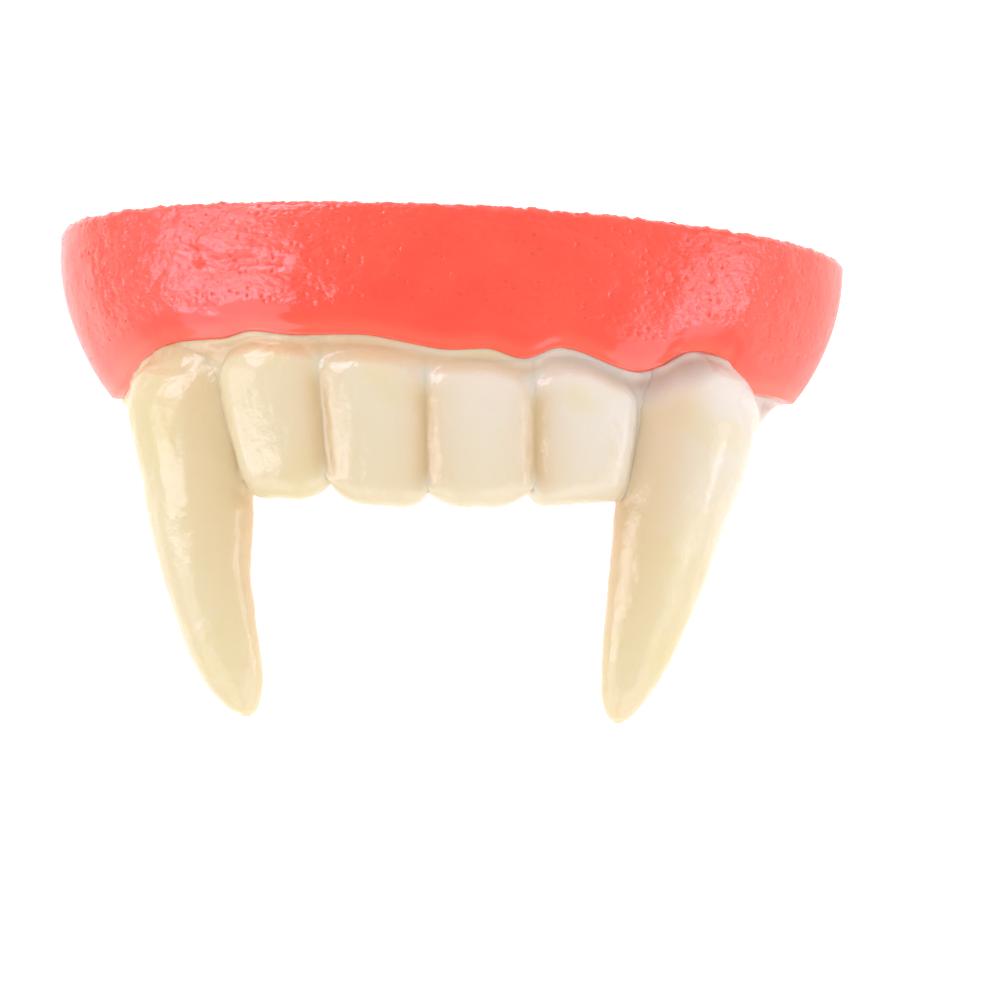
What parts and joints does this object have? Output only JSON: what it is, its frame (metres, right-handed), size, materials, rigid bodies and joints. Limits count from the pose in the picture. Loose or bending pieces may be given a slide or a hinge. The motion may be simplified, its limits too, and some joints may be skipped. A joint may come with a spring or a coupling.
{
  "type": "false teeth",
  "caption": "Vampire false teeth: a red gum trough worn over the upper teeth, carrying cream incisors and a long fang on each side.",
  "frame": {"origin": "centre of the box's bottom, in the plane of the two flat heels that it lies on", "axes": "+X to the right seen from the front, +Y from the biting edges to the gum's rim, +Z out of the mouth"},
  "size_m": [0.0532, 0.0334, 0.0203],
  "materials": {
    "gum": "glossy cast resin, lightly pitted",
    "teeth": "satin cast resin, cream"
  },
  "bodies": {
    "root": {"gum": "gum", "tooth_bar": "teeth", "incisor_1": "teeth", "incisor_2": "teeth", "incisor_3": "teeth", "incisor_4": "teeth", "fang_left": "teeth", "fang_right": "teeth"}
  },
  "joints": []
}
